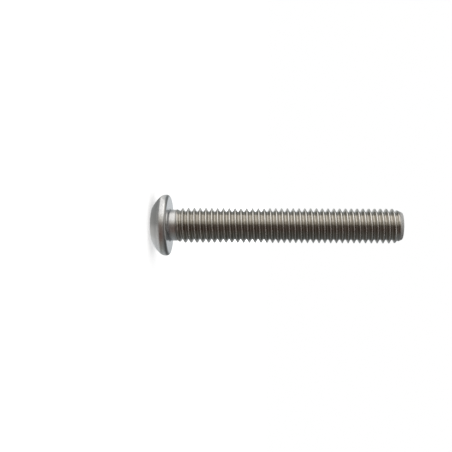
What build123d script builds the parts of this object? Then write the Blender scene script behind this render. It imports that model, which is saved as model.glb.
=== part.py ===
from build123d import *
from math import cos, hypot, radians, sqrt, tan
import os

# Button head screw with a hexagon socket, M6 x 40, threaded to just under the head.
# It is one piece: the head and socket are cold forged, and the thread is rolled.
#
# Lengths are in millimetres and angles in degrees. The screw stands on the flat crown of its head
# with its tip up, because on its side it would roll. The origin is the centre of the bearing face,
# the flat underside of the head, and the screw's axis is Z. Heights count from the bearing face:
# the shank is above it, and the head is below it, down to the crown.

os.makedirs("parts", exist_ok=True)

# Shank. The threaded stretch is the cylinder over the crests of the thread.
thread_diameter = 6.0
shank_length = 40.0
neck_diameter = 5.35      # the blank before rolling, left plain under the head
neck_length = 1.0
neck_fillet = 0.25        # between the neck and the bearing face
run_in_length = 1.4       # where the crests rise from the neck to their full height
tip_length = 1.5          # where the crests fall away towards the end
tip_diameter = 4.6
tip_edge_radius = 0.25

# Head
head_diameter = 10.5
head_height = 3.0
crown_diameter = 6.0      # flat ring round the mouth of the socket
side_height = 1.15        # from the bearing face to where the dome meets the side, before rounding
rim_radius = 1.2          # from the dome round to the side of the head
underside_radius = 0.55   # from the side of the head round to the bearing face

# Hexagon socket
socket_width = 4.0        # across the flats
socket_depth = 2.15       # from the crown up to the end of the flats
socket_turn = 20.0        # from +X to a corner of the hexagon
lead_in = 0.25            # bevel round the mouth of the hexagon
bottom_slope = 10.0       # the bottom is a shallow cone
bottom_flat = 2.05        # diameter of the flat in the middle of the bottom

thread_radius = thread_diameter / 2
neck_radius = neck_diameter / 2
tip_radius = tip_diameter / 2
head_radius = head_diameter / 2
crown_radius = crown_diameter / 2

# The dome is part of a ball centred on the axis. It runs from the crown's edge to the head's side.
dome_height = head_height - side_height
ball_height = (head_radius**2 - crown_radius**2 - dome_height**2) / (2 * dome_height)
ball_radius = hypot(crown_radius, dome_height + ball_height)
dome_middle = (crown_radius + head_radius) / 2
dome_middle_height = -side_height + ball_height - sqrt(ball_radius**2 - dome_middle**2)


def round_corner(outline, out, height, radius):
    """Round the corner of the outline that is nearest to a place in its plane."""
    corner = outline.vertices().sort_by_distance((out, height, 0))[0]
    fillet(corner, radius=radius)


# The punch that forms the socket: a hexagon whose nose is a shallow cone with a flat end
corner_radius = socket_width / 2 / cos(radians(30))
nose_length = (corner_radius - bottom_flat / 2) * tan(radians(bottom_slope))
nose_start = -head_height + socket_depth
nose_end = nose_start + nose_length

with BuildPart() as punch:
    with BuildSketch(Plane.XY.offset(-head_height)):
        RegularPolygon(socket_width / 2, 6, major_radius=False, rotation=socket_turn)
    extrude(amount=socket_depth + nose_length)
    with BuildSketch(Plane.XZ):
        with BuildLine():
            Polyline(
                (0, -head_height),
                (head_radius, -head_height),
                (head_radius, nose_start),
                (corner_radius, nose_start),
                (bottom_flat / 2, nose_end),
                (0, nose_end),
                close=True,
            )
        make_face()
    revolve(axis=Axis.Z, mode=Mode.INTERSECT)

with BuildPart() as screw:
    with BuildSketch(Plane.XZ) as outline:
        with BuildLine():
            crown = Line((0, -head_height), (crown_radius, -head_height))
            dome = ThreePointArc(
                crown @ 1,
                (dome_middle, dome_middle_height),
                (head_radius, -side_height),
            )
            side = Line(dome @ 1, (head_radius, 0))
            bearing_face = Line(side @ 1, (neck_radius, 0))
            neck = Line(bearing_face @ 1, (neck_radius, neck_length))
            run_in = Line(neck @ 1, (thread_radius, neck_length + run_in_length))
            thread = Line(run_in @ 1, (thread_radius, shank_length - tip_length))
            tip = Line(thread @ 1, (tip_radius, shank_length))
            end = Line(tip @ 1, (0, shank_length))
            Line(end @ 1, crown @ 0)
        make_face()
        round_corner(outline, head_radius, -side_height, rim_radius)
        round_corner(outline, head_radius, 0, underside_radius)
        round_corner(outline, neck_radius, 0, neck_fillet)
        round_corner(outline, tip_radius, shank_length, tip_edge_radius)
    revolve(axis=Axis.Z)
    add(punch.part, mode=Mode.SUBTRACT)
    crown_face = screw.faces().sort_by(Axis.Z).first
    chamfer(crown_face.inner_wires().first.edges(), length=lead_in)

screw.part.label = "screw"
export_step(screw.part, "parts/screw.step")

print(f"The volume is {screw.part.volume:.1f} mm3.")
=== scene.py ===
"""Looks of the button head screw, M6 x 40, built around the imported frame. Blender 4.5.

One mesh replaces the CAD node: rings for the socket, the head and the neck, rows that follow the
helix for the thread, and rings for the end. One procedural steel covers it. Cards that only
reflections see stand in for the studio that the photo's steel reflects.
"""

import math

import bmesh
import bpy
import numpy as np
from mathutils import Matrix, Vector


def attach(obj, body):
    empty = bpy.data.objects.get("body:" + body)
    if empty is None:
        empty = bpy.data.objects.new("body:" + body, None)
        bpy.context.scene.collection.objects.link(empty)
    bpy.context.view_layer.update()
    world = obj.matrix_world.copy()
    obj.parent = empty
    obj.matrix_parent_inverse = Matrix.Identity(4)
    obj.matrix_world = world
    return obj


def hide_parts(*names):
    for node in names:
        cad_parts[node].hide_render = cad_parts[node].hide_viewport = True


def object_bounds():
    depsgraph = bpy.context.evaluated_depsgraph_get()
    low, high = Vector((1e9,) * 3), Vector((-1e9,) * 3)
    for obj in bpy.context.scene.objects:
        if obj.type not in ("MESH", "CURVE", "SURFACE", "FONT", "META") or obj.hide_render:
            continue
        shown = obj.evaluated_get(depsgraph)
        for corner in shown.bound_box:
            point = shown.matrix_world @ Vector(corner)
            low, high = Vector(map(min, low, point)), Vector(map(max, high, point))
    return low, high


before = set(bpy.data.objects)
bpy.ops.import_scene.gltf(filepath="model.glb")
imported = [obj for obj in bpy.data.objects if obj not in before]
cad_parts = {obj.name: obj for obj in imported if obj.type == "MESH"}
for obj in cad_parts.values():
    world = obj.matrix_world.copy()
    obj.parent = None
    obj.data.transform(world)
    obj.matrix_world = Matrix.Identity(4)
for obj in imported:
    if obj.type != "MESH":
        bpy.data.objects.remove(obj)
cad_low, cad_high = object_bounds()

MM = 0.001

# ---------------------------------------------------------------------------------------------
# Light. A strength or a shade of 1 is white. Lengths are in metres.
# ---------------------------------------------------------------------------------------------
WORLD_LIGHT = 0.78
FLOOR_HALF = 1.5
PAPER_TONE = 0.85
FLOOR_GLOW = 0.42                     # near the screw; it rises to 1 between the two distances
GLOW_FROM, GLOW_TO = 0.05, 0.25
LAMP_POWER = 0.32                     # in watts
LAMP_COLOUR = (1.0, 0.965, 0.92)
LAMP_SIZE = (0.50, 0.40)
LAMP_BEARING, LAMP_DISTANCE, LAMP_HEIGHT = 66, 0.36, 0.10
LAMP_AIM = 0.018                      # height on the screw's axis

# Shades of the studio cards by bearing round the screw: 0 is towards the camera, and 90 is -X,
# upwards in the image. The tent and the apron are open towards the lamp.
TENT_SHADES = [
    (-262, (0.62, 0.62, 0.61)),
    (-245, (0.475, 0.495, 0.51)),
    (-225, (0.415, 0.45, 0.47)),
    (-208, (0.405, 0.435, 0.455)),
    (-199, (0.76, 0.785, 0.80)),
    (-180, (0.76, 0.785, 0.80)),
    (-174, (0.55, 0.58, 0.60)),
    (-160, (0.38, 0.41, 0.43)),
    (-145, (0.24, 0.26, 0.27)),
    (-120, (0.19, 0.208, 0.22)),
    (-95, (0.155, 0.17, 0.178)),
    (-62, (0.145, 0.138, 0.128)),
    (-45, (0.122, 0.084, 0.074)),
    (-10, (0.155, 0.12, 0.105)),
    (6, (0.19, 0.165, 0.145)),
    (10, (0.38, 0.36, 0.335)),
    (13.5, (0.58, 0.56, 0.525)),
    (17, (0.66, 0.64, 0.60)),
    (30, (0.80, 0.78, 0.74)),
    (36, (0.92, 0.90, 0.86)),
]
APRON_SHADES = [
    (-262, (0.62, 0.62, 0.61)),
    (-180, (0.60, 0.62, 0.63)),
    (-123, (0.47, 0.49, 0.50)),
    (-97, (0.34, 0.365, 0.365)),
    (-76, (0.27, 0.275, 0.265)),
    (-57, (0.22, 0.21, 0.195)),
    (-40, (0.15, 0.11, 0.095)),
    (-25, (0.12, 0.088, 0.077)),
    (-10, (0.165, 0.13, 0.115)),
    (6, (0.21, 0.18, 0.16)),
    (10, (0.40, 0.38, 0.355)),
    (13.5, (0.58, 0.56, 0.525)),
    (17, (0.66, 0.64, 0.60)),
    (30, (0.88, 0.86, 0.82)),
]
MAT_SHADES = [
    (-180, (0.50, 0.52, 0.54)),
    (-90, (0.80, 0.83, 0.85)),
    (-42, (0.75, 0.76, 0.76)),
    (-26, (0.63, 0.63, 0.62)),
    (-8, (0.53, 0.53, 0.52)),
    (4, (0.385, 0.385, 0.375)),
    (60, (0.35, 0.36, 0.36)),
    (120, (0.37, 0.38, 0.38)),
    (180, (0.50, 0.52, 0.54)),
]

# Radii of the cards. The tent is a floor and part of a sphere over it.
TENT, APRON, MAT = 0.30, 0.030, 0.0064
TENT_RISE = 62.0                      # degrees above the horizon
CARD_LIFT = 0.00004                   # above the floor
CARD_STEPS, MAT_STEPS, RISE_STEPS = 120, 97, 12
TENT_FLOOR = (APRON, 0.05, 0.15)
APRON_ROWS = (MAT, 0.012, 0.02, APRON)
# The mat's rows are a radius and a share of its shade: it darkens towards the head's rim.
MAT_ROWS = ((0.001, 1.1), (0.0032, 1.1), (0.0042, 0.97), (0.005, 0.78), (MAT, 0.74))
# In a band half way up, the tent is no darker than this, so that the bearing face looks grey from
# above. The band is between two angles above the horizon, in degrees, with soft edges.
BAND_SHADE, BAND_FROM, BAND_TO, BAND_EDGE = 0.24, 8, 42, 8

# ---------------------------------------------------------------------------------------------
# Reflectance of the steel, place by place. A pair is the range of its unevenness.
# ---------------------------------------------------------------------------------------------
FLANK_TONE = ((0.405, 0.385, 0.345), (0.48, 0.455, 0.415))
ROOT_TONE = (0.48, 0.455, 0.41)
CREST_TONE = (0.67, 0.65, 0.61)
NECK_TONE = ((0.66, 0.65, 0.635), (0.72, 0.71, 0.695))
END_TONE = ((0.47, 0.47, 0.46), (0.57, 0.57, 0.56))
FACE_TONE = ((0.44, 0.435, 0.42), (0.58, 0.575, 0.56))
UNDER_TONE = (0.54, 0.55, 0.56)
# Painted shade: a dark ring in the corner where the neck meets the head.
FILLET_PAINTED_SHADE = (0.30, 0.295, 0.29)
# Painted shade: darkens the rounded edge under the head's rim and dims its reflection there.
EDGE_PAINTED_SHADE = (0.29, 0.285, 0.275)
# Painted highlight: the rim is lighter than the dome to brighten its reflected band; the speckled
# range is its own unevenness.
RIM_HIGHLIGHT_TONE = ((0.63, 0.625, 0.615), (0.79, 0.785, 0.775))
DOME_TONE = ((0.52, 0.52, 0.515), (0.60, 0.60, 0.595))
CROWN_TONE = (0.66, 0.66, 0.65)
WALL_TONE = (0.50, 0.49, 0.47)
CONE_TONE = (0.66, 0.65, 0.63)
STAIN_TONE = (0.30, 0.20, 0.11)
MIDDLE_TONE = ((0.07, 0.07, 0.065), (0.30, 0.30, 0.28))

# ---------------------------------------------------------------------------------------------
# The screw's form, in millimetres and degrees. Heights count from the bearing face, and the tip
# is up.
# ---------------------------------------------------------------------------------------------
COLUMNS = 120                         # a multiple of six, so that a column meets each corner

# Thread. Offsets along it are in pitches, and the pitch is 1 mm.
PITCH = 1.0
CREST = 3.0
NECK = 2.675                          # also the radius of the thread's pitch line
ROOT_CENTRE, ROOT_ROUND = 2.531, 0.1443
CREST_HALF, ROOT_HALF = 0.0625, 0.125     # half of a crest's flat, and half of a root's arc
CREST_SOFT, CREST_SOFT_REACH = 0.012, 0.05
FLAT_MOST = 0.36                      # half of a crest's flat at most, where the tip cuts it down
FLANK = math.tan(math.radians(60))
CREST_AT_X = 0.70                     # height of a crest on the +X side, within a turn
THREAD_FROM, THREAD_TO = 0.90, 39.80
RUN_IN_FROM, RUN_IN_TO = 1.0, 2.4     # the crests rise from the neck
ROOT_FROM, ROOT_TO = 1.05, 2.3        # the roots sink from the neck
FILL_FROM, FILL_TO = 38.8, 39.45      # the grooves fill up towards the end
TIP_FROM, LENGTH, TIP_RADIUS = 38.5, 40.0, 2.3
TIP_ROUND, TIP_SLOPE = 0.25, 25       # the tip's outline leans by about this from the axis
FACE_RADII = (2.08, 1.6, 1.0, 0.45)

# Head
HEAD, CROWN, HEAD_RADIUS, SIDE = -3.0, 3.0, 5.25, -1.15
RIM_ROUND, UNDER_ROUND, NECK_ROUND = 1.2, 0.55, 0.25
CROWN_EDGE = ((-0.10, 0.002), (-0.02, 0.014), (0.06, 0.045))     # out from the crown, and up
DOME_FROM = 1.2                       # degrees from the crown's edge to the dome's first ring
UNDER_RADII = (4.62, 4.2, 3.6, 3.05)
NECK_HEIGHTS = (0.32, 0.5, 0.7)
# The dome is part of a ball centred on the axis, from the crown's edge to the head's side.
BALL_RISE = (HEAD_RADIUS**2 - CROWN**2 - (SIDE - HEAD) ** 2) / (2 * (SIDE - HEAD))
BALL_CENTRE = SIDE + BALL_RISE
BALL_RADIUS = math.hypot(CROWN, BALL_CENTRE - HEAD)

# Socket. It has a bevel round its mouth, and its floor is a shallow cone with a rough middle.
SOCKET_TURN = 20.0                    # from +X to a corner of the hexagon
APOTHEM, LEAD_IN = 2.0, 0.25          # half the width across the flats, and the bevel
EDGE = 0.06                           # rounds the corner between the floor and the walls
WALL_END, FLOOR_FLAT = HEAD + 2.15, 1.025
FLOOR_SLOPE = math.tan(math.radians(10))
MIDDLE_RADII = (0.12, 0.24, 0.36, 0.48, 0.60, 0.72, 0.84, 0.94)
MIDDLE_DEPTH, MIDDLE_ROUGHNESS = 0.02, 0.012
BEVEL_FOOT = HEAD + LEAD_IN
BEVEL_RINGS = (                       # out from the walls, and the height
    (0.014, BEVEL_FOOT - 0.014),
    (0.05, BEVEL_FOOT - 0.05),
    (LEAD_IN - 0.06, HEAD + 0.06),
    (LEAD_IN - 0.015, HEAD + 0.018),
    (LEAD_IN + 0.012, HEAD + 0.003),
)

turn = np.radians(SOCKET_TURN) + np.arange(COLUMNS) * 2 * np.pi / COLUMNS
ones = np.ones(COLUMNS)
random = np.random.default_rng(7)


def hexagon(apothem):
    """The hexagon's radius at each column."""
    into = (np.degrees(turn) - SOCKET_TURN) % 60 - 30
    return apothem / np.cos(np.radians(into))


def arc(centre_r, centre_z, radius, first, last, count):
    """Points of an arc in the outline's plane, from one angle to another, ends included."""
    angles = np.radians(np.linspace(first, last, count))
    return [(centre_r + radius * math.cos(a), centre_z + radius * math.sin(a)) for a in angles]


def socket_floor(radius):
    corner = APOTHEM / math.cos(math.radians(30))
    return WALL_END + (corner - np.maximum(radius, FLOOR_FLAT)) * FLOOR_SLOPE


rings = []                            # each is a radius and a height at every column


def ring(radius, height):
    rings.append((ones * radius, ones * height))


# The rough middle of the socket's floor, and the shallow cone round it
for radius in MIDDLE_RADII:
    rough = random.normal(0, MIDDLE_ROUGHNESS, COLUMNS)
    rough = (rough + np.roll(rough, 1) + np.roll(rough, 2)) * min(1.0, radius / 0.5)
    ring(radius, socket_floor(radius) - MIDDLE_DEPTH + rough)
ring(FLOOR_FLAT - 0.02, socket_floor(FLOOR_FLAT) - MIDDLE_DEPTH / 2)
ring(FLOOR_FLAT + 0.03, socket_floor(FLOOR_FLAT + 0.03))
wall = hexagon(APOTHEM)
for share in (0.25, 0.5, 0.75, 0.9):
    radius = FLOOR_FLAT + share * (wall - 0.08 - FLOOR_FLAT)
    ring(radius, socket_floor(radius))

# The hexagon's walls, from their foot to the bevel at the mouth
foot = socket_floor(wall - EDGE)
ring(wall - EDGE, foot)
ring(wall - EDGE * 0.3, foot - EDGE * 0.3)
ring(wall, foot - EDGE)
wall_foot, wall_head = foot - EDGE - 0.05, BEVEL_FOOT + 0.02
for share in (0.0, 0.35, 0.7, 0.95, 1.0):
    ring(wall, wall_foot + share * (wall_head - wall_foot))
for out, height in BEVEL_RINGS:
    ring(hexagon(APOTHEM + out), height)

# The crown and its soft edge, the dome and the rim
mouth = hexagon(APOTHEM + LEAD_IN + 0.035)
for share in (0.0, 0.4, 0.8):
    ring(mouth + share * (CROWN - 0.08 - mouth), HEAD)
for out, rise in CROWN_EDGE:
    ring(CROWN + out, HEAD + rise)
edge_turn = math.degrees(math.asin(CROWN / BALL_RADIUS))
rim_r = HEAD_RADIUS - RIM_ROUND
rim_z = BALL_CENTRE - math.sqrt((BALL_RADIUS - RIM_ROUND) ** 2 - rim_r**2)
rim_turn = math.degrees(math.atan2(rim_r, BALL_CENTRE - rim_z))
outline = arc(0, BALL_CENTRE, BALL_RADIUS, edge_turn + DOME_FROM - 90, rim_turn - 90, 14)
outline += arc(rim_r, rim_z, RIM_ROUND, rim_turn - 90, 0, 10)[1:]

# The underside, the bearing face and the neck
outline += arc(HEAD_RADIUS - UNDER_ROUND, -UNDER_ROUND, UNDER_ROUND, 0, 90, 9)
outline += [(radius, 0.0) for radius in UNDER_RADII]
outline += arc(NECK + NECK_ROUND, NECK_ROUND, NECK_ROUND, 270, 180, 6)
outline += [(NECK, height) for height in NECK_HEIGHTS]
for radius, height in outline:
    ring(radius, height)


# ---------------------------------------------------------------------------------------------
# The thread: rows that follow the helix, so that its crests and roots are clean lines
# ---------------------------------------------------------------------------------------------
def share_of(height, first, last):
    """0 before the first height and 1 after the last."""
    return np.clip((height - first) / (last - first), 0, 1)


def envelope(height):
    """The largest radius at a height: the neck, the run-in, the crests and the tip."""
    rise = share_of(height, RUN_IN_FROM, RUN_IN_TO)
    fall = share_of(height, TIP_FROM, LENGTH)
    return NECK + (CREST - NECK) * rise - (CREST - TIP_RADIUS) * fall


def thread_form(offset):
    """Radius of the full thread at an offset from a crest's middle."""
    offset = np.abs(offset)
    flank = CREST - (offset - CREST_HALF) * FLANK
    root = ROOT_CENTRE - np.sqrt(np.maximum(ROOT_ROUND**2 - (0.5 - offset) ** 2, 0))
    form = np.where(offset > 0.5 - ROOT_HALF, root, flank)
    soft = CREST_SOFT * np.clip(1 - np.abs(offset - CREST_HALF) / CREST_SOFT_REACH, 0, 1)
    return np.minimum(form, CREST) - soft


def row_offsets(limit):
    """Offsets of the rows in one pitch, for the radius that the crest is cut down to."""
    flat = np.clip(CREST_HALF + (CREST - limit) / FLANK, CREST_HALF, FLAT_MOST)
    root = 0.5 - ROOT_HALF
    half = [flat * 0.5, flat * 0.92, flat + 0.012, flat + 0.035]
    half += [(flat + 0.035) * 0.5 + root * 0.5, root + flat * 0, 0.43 + flat * 0]
    half.sort(key=lambda a: float(np.min(a)))
    return [-h for h in reversed(half)] + [flat * 0] + half + [0.5 + flat * 0]


ROWS = len(row_offsets(np.array([CREST])))
turns = int(math.ceil((THREAD_TO - THREAD_FROM) / PITCH)) + 3
below_thread = math.floor(THREAD_FROM) - 1
thread_rows = []
for count in range(turns):
    # In two steps, because rounding decides whether a row on a root's edge is flank or arc.
    centre = below_thread + count * PITCH + CREST_AT_X + (turn - turn[0]) / (2 * np.pi) * PITCH
    centre = centre + np.radians(SOCKET_TURN) / (2 * np.pi) * PITCH
    for offset in row_offsets(envelope(np.clip(centre, RUN_IN_TO, LENGTH))):
        height = np.clip(centre + offset * PITCH, THREAD_FROM, THREAD_TO)
        across = (height - centre + PITCH / 2) % PITCH - PITCH / 2
        form = thread_form(across) - NECK
        crest_share = share_of(height, RUN_IN_FROM, RUN_IN_TO)
        root_share = share_of(height, ROOT_FROM, ROOT_TO)
        root_share = root_share * root_share * (3 - 2 * root_share)
        radius = NECK + np.where(form > 0, form * crest_share, form * root_share)
        limit = envelope(height)
        filled = np.where(radius < limit, share_of(height, FILL_FROM, FILL_TO), 0)
        radius = radius + (limit - radius) * filled
        thread_rows.append((np.minimum(radius, limit), height))

# The end: its rounded edge and its flat face
corner = TIP_ROUND * math.tan(math.radians((90 - TIP_SLOPE) / 2))
outline = arc(TIP_RADIUS - corner, LENGTH - TIP_ROUND, TIP_ROUND, TIP_SLOPE, 90, 7)
outline += [(radius, LENGTH) for radius in FACE_RADII]
end_rows = [(ones * radius, ones * height) for radius, height in outline]


# ---------------------------------------------------------------------------------------------
# One mesh from the rings, the thread's rows and the end
# ---------------------------------------------------------------------------------------------
points = [(0.0, 0.0, float(socket_floor(0.0)) - MIDDLE_DEPTH)]
faces = []


def add_row(radius, height):
    """Adds the row's points, and gives the number of its first one."""
    number = len(points)
    x, y = radius * np.cos(turn), radius * np.sin(turn)
    points.extend(zip(x.tolist(), y.tolist(), height.tolist()))
    return number


def join(lower, upper):
    """Quads between two closed rows."""
    for i in range(COLUMNS):
        j = (i + 1) % COLUMNS
        faces.append((lower + i, upper + i, upper + j, lower + j))


head = [add_row(*row) for row in rings]
for i in range(COLUMNS):
    faces.append((0, head[0] + i, head[0] + (i + 1) % COLUMNS))
for lower, upper in zip(head, head[1:]):
    join(lower, upper)

# On the helix, a row's last column meets the first column of the row one turn further up.
helix = [add_row(*row) for row in thread_rows]
for k in range(len(helix) - 1):
    lower, upper = helix[k], helix[k + 1]
    for i in range(COLUMNS - 1):
        faces.append((lower + i, upper + i, upper + i + 1, lower + i + 1))
    if k + 1 + ROWS < len(helix):
        i = COLUMNS - 1
        faces.append((lower + i, upper + i, helix[k + 1 + ROWS], helix[k + ROWS]))

end = [helix[-1]] + [add_row(*row) for row in end_rows]
for lower, upper in zip(end, end[1:]):
    join(lower, upper)
points.append((0.0, 0.0, LENGTH))
for i in range(COLUMNS):
    faces.append((end[-1] + i, len(points) - 1, end[-1] + (i + 1) % COLUMNS))
join(head[-1], helix[0])

# At the thread's ends, the rows that are cut off lie on one another. Their points become one.
GRID = 1e-9                           # metres
co = np.array(points) * MM
cells = np.round(co / GRID).astype(np.int64)
_, keep, merged = np.unique(cells, axis=0, return_index=True, return_inverse=True)
merged = merged.ravel()
clean = []
for face in faces:
    corners = list(dict.fromkeys(int(merged[v]) for v in face))
    if len(corners) >= 3:
        clean.append(corners)

mesh = bpy.data.meshes.new("screw_form")
mesh.from_pydata(co[keep].tolist(), [], clean)
mesh.validate()
mesh.shade_smooth()
screw = bpy.data.objects.new("screw_form", mesh)
bpy.context.scene.collection.objects.link(screw)

SHARP = math.radians(50)
bm = bmesh.new()
bm.from_mesh(mesh)
bmesh.ops.recalc_face_normals(bm, faces=bm.faces)
for edge in bm.edges:
    edge.smooth = not (len(edge.link_faces) == 2 and edge.calc_face_angle(0) > SHARP)
bm.to_mesh(mesh)
open_edges = sum(1 for edge in bm.edges if len(edge.link_faces) != 2)
triangles = sum(len(polygon.vertices) - 2 for polygon in mesh.polygons)
volume = bm.calc_volume() / MM**3
print(f"FORM {triangles} triangles, {open_edges} open edges, {volume:.1f} mm3")
bm.free()

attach(screw, "root")
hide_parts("screw")


# ---------------------------------------------------------------------------------------------
# Steel
# ---------------------------------------------------------------------------------------------
def node_tree(name):
    material = bpy.data.materials.new(name)
    material.use_nodes = True
    material.node_tree.nodes.clear()
    return material, material.node_tree.nodes, material.node_tree.links


steel, nodes, links = node_tree("steel")
output = nodes.new("ShaderNodeOutputMaterial")
shader = nodes.new("ShaderNodeBsdfPrincipled")
links.new(shader.outputs["BSDF"], output.inputs["Surface"])
shader.inputs["Metallic"].default_value = 1.0
place = nodes.new("ShaderNodeTexCoord").outputs["Object"]


def noise(scale, detail, roughness):
    """Noise from 0 to 1. The scale is per metre."""
    texture = nodes.new("ShaderNodeTexNoise")
    texture.inputs["Scale"].default_value = scale
    texture.inputs["Detail"].default_value = detail
    texture.inputs["Roughness"].default_value = roughness
    links.new(place, texture.inputs["Vector"])
    return texture.outputs["Fac"]


def rgba(value):
    """Four channels from a colour or a grey."""
    return (*value, 1.0) if isinstance(value, tuple) else (value, value, value, 1.0)


def ramp(source, first, last, values):
    """The first value up to one level of the source, and the second from the other."""
    node = nodes.new("ShaderNodeValToRGB")
    for element, position, value in zip(node.color_ramp.elements, (first, last), values):
        element.position = position
        element.color = rgba(value)
    links.new(source, node.inputs["Fac"])
    return node.outputs["Color"]


def math_node(operation, *values):
    node = nodes.new("ShaderNodeMath")
    node.operation = operation
    for socket, value in zip(node.inputs, values):
        if isinstance(value, (int, float)):
            socket.default_value = value
        else:
            links.new(value, socket)
    return node.outputs[0]


def between(value, first, last):
    """0 before the first level and 1 after the last, and smooth between them."""
    node = nodes.new("ShaderNodeMapRange")
    node.interpolation_type = "SMOOTHSTEP"
    node.inputs["From Min"].default_value = first
    node.inputs["From Max"].default_value = last
    links.new(value, node.inputs["Value"])
    return node.outputs["Result"]


def blend(factor, under, over):
    """Mixes colours or greys, each a constant or what a node gives."""
    node = nodes.new("ShaderNodeMix")
    node.data_type = "RGBA"
    links.new(factor, node.inputs[0])
    for socket, value in ((node.inputs[6], under), (node.inputs[7], over)):
        if isinstance(value, (tuple, int, float)):
            socket.default_value = rgba(value)
        else:
            links.new(value, socket)
    return node.outputs[2]


# Where a point is on the screw: its height and its distance from the axis, in millimetres
in_mm = nodes.new("ShaderNodeVectorMath")
in_mm.operation = "SCALE"
in_mm.inputs["Scale"].default_value = 1 / MM
links.new(place, in_mm.inputs[0])
split = nodes.new("ShaderNodeSeparateXYZ")
links.new(in_mm.outputs[0], split.inputs[0])
along_x, along_y, up_axis = (split.outputs[name] for name in "XYZ")
square = math_node(
    "ADD", math_node("MULTIPLY", along_x, along_x), math_node("MULTIPLY", along_y, along_y)
)
out_from_axis = math_node("SQRT", square)


def all_of(*masks):
    result = masks[0]
    for mask in masks[1:]:
        result = math_node("MULTIPLY", result, mask)
    return result


def above(first, last):
    return between(up_axis, first, last)


def below(first, last):
    return math_node("SUBTRACT", 1.0, above(first, last))


def outside(first, last):
    return between(out_from_axis, first, last)


def within(first, last):
    return math_node("SUBTRACT", 1.0, outside(first, last))


# Places on the screw. Each fades in or out between two heights, or two distances from the axis.
on_shank = above(0.95, 1.4)
on_crest = all_of(on_shank, outside(2.88, 2.96))
in_root = all_of(on_shank, within(2.42, 2.55))
on_end = above(39.35, 39.50)
on_face = above(39.975, 39.995)
on_head = below(-0.10, -0.02)
under_head = all_of(above(-0.08, -0.02), below(0.10, 0.30))
in_fillet_shade = all_of(above(-0.02, 0.02), below(0.16, 0.30), within(2.85, 3.05))
under_edge_shade = all_of(above(-0.44, -0.30), below(-0.08, -0.02))
on_rim = all_of(above(-1.85, -1.50), below(-0.50, -0.35))
on_crown = below(HEAD + 0.01, HEAD + 0.08)
in_socket = all_of(on_head, within(2.62, 2.70), above(HEAD + 0.04, HEAD + 0.12))
in_middle = all_of(in_socket, within(1.00, 1.06))
on_cone = all_of(in_socket, above(WALL_END - 0.03, WALL_END + 0.03))
in_corner = all_of(in_socket, outside(1.62, 2.15), above(WALL_END - 0.95, WALL_END - 0.15))

clouds = noise(420, 3, 0.5)
specks = noise(5200, 4, 0.6)
grain = noise(2600, 5, 0.65)
stains = between(noise(900, 4, 0.6), 0.48, 0.66)

# Colour
thread = ramp(clouds, 0.35, 0.65, FLANK_TONE)
thread = blend(in_root, thread, ROOT_TONE)
thread = blend(on_crest, thread, CREST_TONE)
colour = blend(on_shank, ramp(clouds, 0.35, 0.65, NECK_TONE), thread)
colour = blend(on_end, colour, ramp(specks, 0.4, 0.6, END_TONE))
colour = blend(on_face, colour, ramp(grain, 0.4, 0.6, FACE_TONE))
colour = blend(under_head, colour, UNDER_TONE)
colour = blend(on_head, colour, ramp(clouds, 0.3, 0.7, DOME_TONE))
# Painted shade in the fillet between the neck and the head.
colour = blend(in_fillet_shade, colour, FILLET_PAINTED_SHADE)
# Painted highlight on the rim, lighter than the dome, with speckled unevenness of its own.
colour = blend(on_rim, colour, ramp(specks, 0.4, 0.6, RIM_HIGHLIGHT_TONE))
# Painted shade on the rounded edge under the head's rim.
colour = blend(under_edge_shade, colour, EDGE_PAINTED_SHADE)
colour = blend(on_crown, colour, CROWN_TONE)
colour = blend(in_socket, colour, WALL_TONE)
colour = blend(on_cone, colour, CONE_TONE)
colour = blend(all_of(stains, in_corner), colour, STAIN_TONE)
colour = blend(in_middle, colour, ramp(specks, 0.4, 0.65, MIDDLE_TONE))
links.new(colour, shader.inputs["Base Color"])

# Roughness
roughness = blend(on_shank, 0.27, 0.15)
for mask, level in (
    (on_crest, 0.23),
    (on_end, 0.72),
    (on_face, 0.40),
    (under_head, 0.17),
    (on_head, 0.27),
    (on_crown, 0.22),
    (in_socket, 0.26),
    (in_middle, 0.6),
):
    roughness = blend(mask, roughness, level)
uneven = ramp(specks, 0.3, 0.7, (0.0, 0.07))
links.new(math_node("ADD", roughness, uneven), shader.inputs["Roughness"])

# Fine unevenness of the surface
strength = blend(on_shank, 0.16, 0.05)
for mask, level in ((on_face, 0.5), (on_head, 0.34), (on_rim, 0.9), (in_middle, 1.0)):
    strength = blend(mask, strength, level)
bump = nodes.new("ShaderNodeBump")
bump.inputs["Distance"].default_value = 0.01 * MM
links.new(strength, bump.inputs["Strength"])
links.new(specks, bump.inputs["Height"])
links.new(bump.outputs["Normal"], shader.inputs["Normal"])
mesh.materials.append(steel)


# ---------------------------------------------------------------------------------------------
# Floor and world
# ---------------------------------------------------------------------------------------------
def seen(nodes, links):
    """1 for what the camera, reflections and glass see, and 0 for light."""
    path = nodes.new("ShaderNodeLightPath")
    factor = path.outputs["Is Camera Ray"]
    for kind in ("Is Glossy Ray", "Is Transmission Ray"):
        either = nodes.new("ShaderNodeMath")
        either.operation = "MAXIMUM"
        links.new(factor, either.inputs[0])
        links.new(path.outputs[kind], either.inputs[1])
        factor = either.outputs[0]
    return factor


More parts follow.
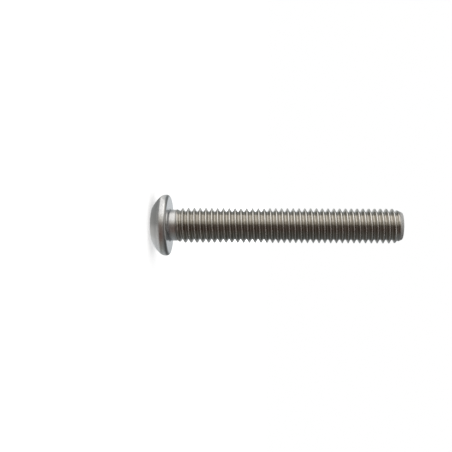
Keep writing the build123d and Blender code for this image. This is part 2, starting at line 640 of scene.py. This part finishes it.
floor_height = cad_low.z
floor_mesh = bpy.data.meshes.new("floor")
floor_corners = [
    (x * FLOOR_HALF, y * FLOOR_HALF, floor_height) for x, y in ((-1, -1), (1, -1), (1, 1), (-1, 1))
]
floor_mesh.from_pydata(floor_corners, [], [(0, 1, 2, 3)])
floor = bpy.data.objects.new("floor", floor_mesh)
bpy.context.scene.collection.objects.link(floor)
paper, paper_nodes, paper_links = node_tree("paper")
paper_output = paper_nodes.new("ShaderNodeOutputMaterial")
diffuse = paper_nodes.new("ShaderNodeBsdfDiffuse")
diffuse.inputs["Color"].default_value = rgba(PAPER_TONE)
glow = paper_nodes.new("ShaderNodeEmission")
spot = paper_nodes.new("ShaderNodeTexCoord")
reach = paper_nodes.new("ShaderNodeVectorMath")
reach.operation = "LENGTH"
paper_links.new(spot.outputs["Object"], reach.inputs[0])
fade = paper_nodes.new("ShaderNodeMapRange")
fade.interpolation_type = "SMOOTHSTEP"
fade.inputs["From Min"].default_value = GLOW_FROM
fade.inputs["From Max"].default_value = GLOW_TO
fade.inputs["To Min"].default_value = FLOOR_GLOW
fade.inputs["To Max"].default_value = 1.0
paper_links.new(reach.outputs["Value"], fade.inputs["Value"])
seen_glow = paper_nodes.new("ShaderNodeMath")
seen_glow.operation = "MULTIPLY"
paper_links.new(seen(paper_nodes, paper_links), seen_glow.inputs[0])
paper_links.new(fade.outputs["Result"], seen_glow.inputs[1])
paper_links.new(seen_glow.outputs[0], glow.inputs["Strength"])
both = paper_nodes.new("ShaderNodeAddShader")
paper_links.new(diffuse.outputs[0], both.inputs[0])
paper_links.new(glow.outputs[0], both.inputs[1])
paper_links.new(both.outputs[0], paper_output.inputs["Surface"])
floor_mesh.materials.append(paper)

world = bpy.data.worlds.new("studio")
bpy.context.scene.world = world
world.use_nodes = True
world.node_tree.nodes.clear()
world_nodes, world_links = world.node_tree.nodes, world.node_tree.links
world_output = world_nodes.new("ShaderNodeOutputWorld")
background = world_nodes.new("ShaderNodeBackground")
background.inputs["Color"].default_value = rgba(1.0)
light_level = world_nodes.new("ShaderNodeMath")
light_level.operation = "MAXIMUM"
light_level.inputs[1].default_value = WORLD_LIGHT
world_links.new(seen(world_nodes, world_links), light_level.inputs[0])
world_links.new(light_level.outputs[0], background.inputs["Strength"])
world_links.new(background.outputs[0], world_output.inputs["Surface"])


# ---------------------------------------------------------------------------------------------
# Lamp and studio cards
# ---------------------------------------------------------------------------------------------
def bearing(angle, distance, height):
    """A place round the screw. The angle is 0 towards the camera and 90 on the side of -X."""
    a = math.radians(angle)
    return Vector((-distance * math.sin(a), -distance * math.cos(a), height))


lamp_data = bpy.data.lights.new("soft_lamp", "AREA")
lamp_data.shape = "RECTANGLE"
lamp_data.size, lamp_data.size_y = LAMP_SIZE
lamp_data.energy = LAMP_POWER
lamp_data.color = LAMP_COLOUR
lamp = bpy.data.objects.new("soft_lamp", lamp_data)
bpy.context.scene.collection.objects.link(lamp)
lamp.location = bearing(LAMP_BEARING, LAMP_DISTANCE, LAMP_HEIGHT)
aim = Vector((0, 0, LAMP_AIM)) - lamp.location
lamp.rotation_euler = aim.to_track_quat("-Z", "Y").to_euler()
lamp.visible_camera = False


def card(name, rows, angles, shades):
    """A studio card that only reflections see, shaded by bearing.

    A row is its distance, its height, its share of the shade and the least shade that it has.
    """
    stops, tones = zip(*shades)
    channels = [np.interp(angles, stops, tone) for tone in zip(*tones)]
    verts, colours, quads = [], [], []
    for distance, height, share, least in rows:
        for angle, *shade in zip(angles, *channels):
            verts.append(bearing(angle, distance, height))
            colours.append([max(float(c) * share, least) for c in shade] + [1.0])
    across = len(angles)
    for r in range(len(rows) - 1):
        for i in range(across - 1):
            v = r * across + i
            quads.append((v, v + 1, v + across + 1, v + across))
    card_mesh = bpy.data.meshes.new(name)
    card_mesh.from_pydata(verts, [], quads)
    layer = card_mesh.color_attributes.new("shade", "FLOAT_COLOR", "POINT")
    layer.data.foreach_set("color", np.array(colours).ravel())
    obj = bpy.data.objects.new(name, card_mesh)
    bpy.context.scene.collection.objects.link(obj)
    material, card_nodes, card_links = node_tree(name)
    card_output = card_nodes.new("ShaderNodeOutputMaterial")
    emission = card_nodes.new("ShaderNodeEmission")
    attribute = card_nodes.new("ShaderNodeAttribute")
    attribute.attribute_name = "shade"
    card_links.new(attribute.outputs["Color"], emission.inputs["Color"])
    card_links.new(emission.outputs[0], card_output.inputs["Surface"])
    card_mesh.materials.append(material)
    obj.visible_camera = False
    obj.visible_diffuse = False
    obj.visible_shadow = False


def span(shades):
    """The bearings of a card's columns."""
    return np.linspace(shades[0][0], shades[-1][0], CARD_STEPS)


# A tent round the screw, an apron inside it, and a small mat under the head
card_height = floor_height + CARD_LIFT
tent_rows = [(radius, card_height, 1.0, 0.0) for radius in TENT_FLOOR]
for rise in np.linspace(0, TENT_RISE, RISE_STEPS):
    band = min(max((rise - BAND_FROM) / BAND_EDGE, 0), max((BAND_TO - rise) / BAND_EDGE, 0), 1)
    radius = TENT * math.cos(math.radians(rise))
    height = card_height + TENT * math.sin(math.radians(rise))
    tent_rows.append((radius, height, 1.0, BAND_SHADE * band))
apron_rows = [(radius, card_height, 1.0, 0.0) for radius in APRON_ROWS]
mat_rows = [(radius, card_height, share, 0.0) for radius, share in MAT_ROWS]
card("tent", tent_rows, span(TENT_SHADES), TENT_SHADES)
card("apron", apron_rows, span(APRON_SHADES), APRON_SHADES)
card("mat", mat_rows, np.linspace(-180, 180, MAT_STEPS), MAT_SHADES)

# ---------------------------------------------------------------------------------------------
# Camera. It looks along +Y, square to the shank, and is rolled so that the tip is at the right
# and -X is up. The photo is cropped to one side of its line of sight, so the lens is shifted by
# that much.
# ---------------------------------------------------------------------------------------------
IMAGE = 452                           # pixels, both ways
SCALE = 5.80                          # pixels to a millimetre at the screw's axis
FOCAL = 727.0                         # in pixels
FOOT = 276.0                          # column where the line of sight meets the axis
FACE_COLUMN = 170.1                   # column of the bearing face
SENSOR = 36.0                         # millimetres
distance = FOCAL / SCALE * MM
axis_height = (FOOT - FACE_COLUMN) / SCALE * MM
sideways = 0.07 * MM                  # from the axis towards +X
roll = math.radians(0.27)             # the slope of the shank in the photo
camera_data = bpy.data.cameras.new("camera")
camera_data.sensor_width = SENSOR
camera_data.lens = FOCAL / IMAGE * SENSOR
camera_data.shift_x = (IMAGE / 2 - FOOT) / IMAGE
camera_data.clip_start = 0.002
camera_data.clip_end = 10.0
camera = bpy.data.objects.new("camera", camera_data)
bpy.context.scene.collection.objects.link(camera)
look = Vector((0, 1, 0))
right = Vector((-math.sin(roll), 0, math.cos(roll)))
up = right.cross(look)
camera.matrix_world = Matrix(
    (
        (right.x, up.x, -look.x, sideways),
        (right.y, up.y, -look.y, -distance),
        (right.z, up.z, -look.z, axis_height),
        (0, 0, 0, 1),
    )
)
bpy.context.scene.camera = camera
bpy.context.scene.view_settings.view_transform = "Standard"
